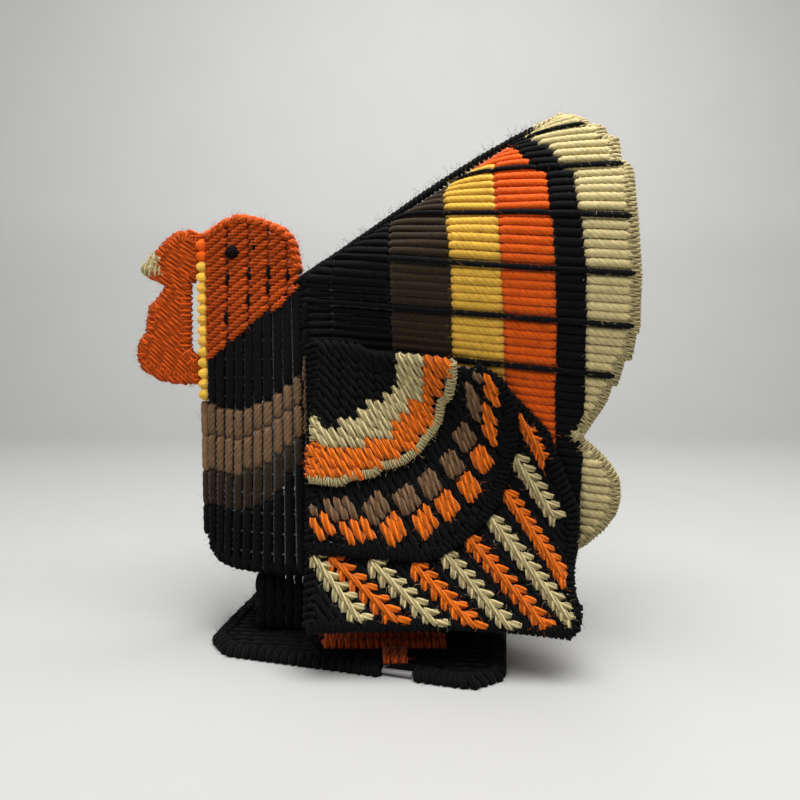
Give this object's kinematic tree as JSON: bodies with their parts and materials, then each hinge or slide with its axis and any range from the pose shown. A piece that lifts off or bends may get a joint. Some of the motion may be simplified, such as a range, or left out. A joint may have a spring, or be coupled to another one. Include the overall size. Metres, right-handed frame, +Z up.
{
  "type": "thanksgiving turkey figure",
  "caption": "Standing turkey figure sewn from stitched canvas panels, with a fanned tail, layered wings, a beak and wattle, on a pedestal and base.",
  "frame": {"origin": "on the floor, centre of the base's underside in the middle plane, under the body", "axes": "+X from the beak to the tail, +Y to the bird's right, +Z up"},
  "size_m": [0.1847, 0.104, 0.2035],
  "materials": {
    "yarn_black": "woolly",
    "yarn_orange": "woolly",
    "yarn_gold": "woolly",
    "yarn_cream": "woolly"
  },
  "bodies": {
    "root": {"tail_side_left": "yarn_black", "rim_binding_left": "yarn_cream", "head_breast_left": "yarn_black", "eye_left": "yarn_black", "wing_lower_left": "yarn_black", "wing_middle_left": "yarn_black", "wing_upper_left": "yarn_black", "wing_lower_edging_left": "yarn_black", "wing_middle_edging_left": "yarn_black", "wing_upper_edging_left": "yarn_cream", "pedestal_side_left": "yarn_black", "foot_left": "yarn_orange", "tail_side_right": "yarn_black", "rim_binding_right": "yarn_cream", "head_breast_right": "yarn_black", "eye_right": "yarn_black", "wing_lower_right": "yarn_black", "wing_middle_right": "yarn_black", "wing_upper_right": "yarn_black", "wing_lower_edging_right": "yarn_black", "wing_middle_edging_right": "yarn_black", "wing_upper_edging_right": "yarn_cream", "pedestal_side_right": "yarn_black", "foot_right": "yarn_orange", "ridge_binding": "yarn_black", "body_floor": "yarn_black", "pedestal_front": "yarn_black", "pedestal_back": "yarn_black", "base_plate": "yarn_black", "throat_binding": "yarn_gold", "crown_binding": "yarn_orange", "beak_wattle": "yarn_orange"}
  },
  "joints": []
}
